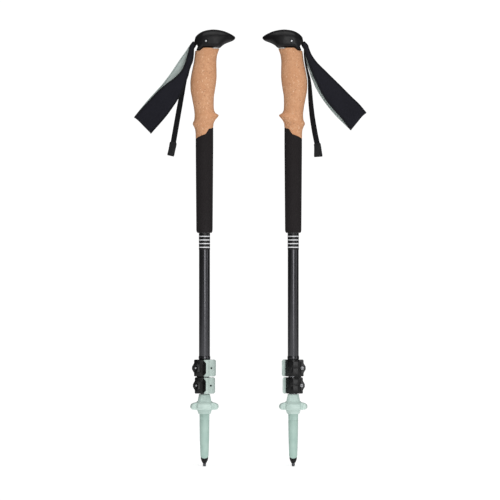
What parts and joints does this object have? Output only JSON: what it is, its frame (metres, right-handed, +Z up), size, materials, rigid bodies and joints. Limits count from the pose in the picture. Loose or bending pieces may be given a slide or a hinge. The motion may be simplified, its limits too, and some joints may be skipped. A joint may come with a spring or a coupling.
{
  "type": "trekking poles",
  "caption": "Pair of collapsed telescoping trekking poles with beaked heads, cork and foam grips, wrist straps, lever clamps, lobed baskets and carbide tips.",
  "frame": {"origin": "on the ground, midway between the two pole tips", "axes": "+Z up along both shafts; +X from the left pole to the right pole, the way the left pole's beak points; +Y away from the front view"},
  "size_m": [0.341, 0.0418, 0.64],
  "materials": {
    "head_plastic": "satin",
    "cork": "matte",
    "foam": "matte",
    "plug_plastic": "satin",
    "steel": "satin",
    "webbing": "matte",
    "strap_band": "matte",
    "tab_rubber": "matte",
    "upper_tube": "satin",
    "inner_tube": "satin",
    "clamp_plastic": "satin",
    "mint_plastic": "satin",
    "tip_plastic": "matte",
    "carbide": "satin"
  },
  "bodies": {
    "left_grip": {"left_grip_head": "head_plastic", "left_cork_grip": "cork", "left_foam_sleeve": "foam", "left_grip_plug": "plug_plastic", "left_strap_pin": "steel", "left_strap_anchor": "webbing", "left_upper_tube": "upper_tube", "left_upper_clamp_body": "clamp_plastic", "left_upper_lever_pin": "steel", "left_upper_tension_nut": "steel"},
    "left_strap": {"left_strap_front_half": "strap_band", "left_strap_back_half": "strap_band"},
    "left_tail": {"left_strap_tail": "webbing", "left_tail_tab": "tab_rubber"},
    "left_wedge": {"left_strap_wedge": "plug_plastic"},
    "left_upper_lever": {"left_upper_clamp_lever": "mint_plastic"},
    "left_upper_screw": {"left_upper_tension_screw": "steel"},
    "left_mid": {"left_mid_tube": "inner_tube", "left_mid_tube_plug": "plug_plastic", "left_lower_clamp_body": "clamp_plastic", "left_lower_lever_pin": "steel", "left_lower_tension_nut": "steel"},
    "left_lower_lever": {"left_lower_clamp_lever": "mint_plastic"},
    "left_lower_screw": {"left_lower_tension_screw": "steel"},
    "left_lower": {"left_lower_tube": "inner_tube", "left_lower_tube_plug": "plug_plastic", "left_tip_sleeve": "mint_plastic", "left_tip_seat": "tip_plastic", "left_carbide_tip": "carbide"},
    "left_basket": {"left_basket": "mint_plastic"},
    "right_grip": {"right_grip_head": "head_plastic", "right_cork_grip": "cork", "right_foam_sleeve": "foam", "right_grip_plug": "plug_plastic", "right_strap_pin": "steel", "right_strap_anchor": "webbing", "right_upper_tube": "upper_tube", "right_upper_clamp_body": "clamp_plastic", "right_upper_lever_pin": "steel", "right_upper_tension_nut": "steel"},
    "right_strap": {"right_strap_front_half": "strap_band", "right_strap_back_half": "strap_band"},
    "right_tail": {"right_strap_tail": "webbing", "right_tail_tab": "tab_rubber"},
    "right_wedge": {"right_strap_wedge": "plug_plastic"},
    "right_upper_lever": {"right_upper_clamp_lever": "mint_plastic"},
    "right_upper_screw": {"right_upper_tension_screw": "steel"},
    "right_mid": {"right_mid_tube": "inner_tube", "right_mid_tube_plug": "plug_plastic", "right_lower_clamp_body": "clamp_plastic", "right_lower_lever_pin": "steel", "right_lower_tension_nut": "steel"},
    "right_lower_lever": {"right_lower_clamp_lever": "mint_plastic"},
    "right_lower_screw": {"right_lower_tension_screw": "steel"},
    "right_lower": {"right_lower_tube": "inner_tube", "right_lower_tube_plug": "plug_plastic", "right_tip_sleeve": "mint_plastic", "right_tip_seat": "tip_plastic", "right_carbide_tip": "carbide"},
    "right_basket": {"right_basket": "mint_plastic"}
  },
  "joints": [
    {"name": "left_mid_slide", "type": "slide", "parent": "left_grip", "child": "left_mid", "axis": [0, 0, -1], "range_m": [0, 0.38]},
    {"name": "left_lower_slide", "type": "slide", "parent": "left_mid", "child": "left_lower", "axis": [0, 0, -1], "range_m": [0, 0.38]},
    {"name": "left_upper_lever_hinge", "type": "hinge", "parent": "left_grip", "child": "left_upper_lever", "pos_m": [-0.062, -0.0144, 0.1442], "axis": [0, 0, -1], "range_deg": [0, 110]},
    {"name": "left_lower_lever_hinge", "type": "hinge", "parent": "left_mid", "child": "left_lower_lever", "pos_m": [-0.06221, -0.01339, 0.1186], "axis": [0, 0, -1], "range_deg": [0, 110]},
    {"name": "left_upper_screw_turn", "type": "hinge", "parent": "left_grip", "child": "left_upper_screw", "pos_m": [-0.0782, 0, 0.1442], "axis": [0, 1, 0], "continuous": true},
    {"name": "left_lower_screw_turn", "type": "hinge", "parent": "left_mid", "child": "left_lower_screw", "pos_m": [-0.07728, 0, 0.1186], "axis": [0, 1, 0], "continuous": true},
    {"name": "left_basket_turn", "type": "hinge", "parent": "left_lower", "child": "left_basket", "pos_m": [-0.065, 0, 0.09], "axis": [0, 0, 1], "continuous": true},
    {"name": "left_strap_swing", "type": "hinge", "parent": "left_grip", "child": "left_strap", "pos_m": [-0.081, 0, 0.6198], "axis": [0, 1, 0], "range_deg": [-2, 75]},
    {"name": "left_tail_swing", "type": "hinge", "parent": "left_grip", "child": "left_tail", "pos_m": [-0.0812, 0, 0.6164], "axis": [0, 1, 0], "range_deg": [0, 8]},
    {"name": "left_wedge_slide", "type": "slide", "parent": "left_grip", "child": "left_wedge", "axis": [-1, 0, 0], "range_m": [0, 0.003]},
    {"name": "right_pole_apart", "type": "slide", "parent": "left_grip", "child": "right_grip", "axis": [1, 0, 0], "range_m": [0, 0.3]},
    {"name": "right_mid_slide", "type": "slide", "parent": "right_grip", "child": "right_mid", "axis": [0, 0, -1], "range_m": [0, 0.38]},
    {"name": "right_lower_slide", "type": "slide", "parent": "right_mid", "child": "right_lower", "axis": [0, 0, -1], "range_m": [0, 0.38]},
    {"name": "right_upper_lever_hinge", "type": "hinge", "parent": "right_grip", "child": "right_upper_lever", "pos_m": [0.062, 0.0144, 0.1442], "axis": [0, 0, -1], "range_deg": [0, 110]},
    {"name": "right_lower_lever_hinge", "type": "hinge", "parent": "right_mid", "child": "right_lower_lever", "pos_m": [0.06221, 0.01339, 0.1186], "axis": [0, 0, -1], "range_deg": [0, 110]},
    {"name": "right_upper_screw_turn", "type": "hinge", "parent": "right_grip", "child": "right_upper_screw", "pos_m": [0.0782, 0, 0.1442], "axis": [0, -1, 0], "continuous": true},
    {"name": "right_lower_screw_turn", "type": "hinge", "parent": "right_mid", "child": "right_lower_screw", "pos_m": [0.07728, 0, 0.1186], "axis": [0, -1, 0], "continuous": true},
    {"name": "right_basket_turn", "type": "hinge", "parent": "right_lower", "child": "right_basket", "pos_m": [0.065, 0, 0.09], "axis": [0, 0, 1], "continuous": true},
    {"name": "right_strap_swing", "type": "hinge", "parent": "right_grip", "child": "right_strap", "pos_m": [0.081, 0, 0.6198], "axis": [0, -1, 0], "range_deg": [-2, 75]},
    {"name": "right_tail_swing", "type": "hinge", "parent": "right_grip", "child": "right_tail", "pos_m": [0.0812, 0, 0.6164], "axis": [0, -1, 0], "range_deg": [0, 5]},
    {"name": "right_wedge_slide", "type": "slide", "parent": "right_grip", "child": "right_wedge", "axis": [1, 0, 0], "range_m": [0, 0.003]}
  ]
}
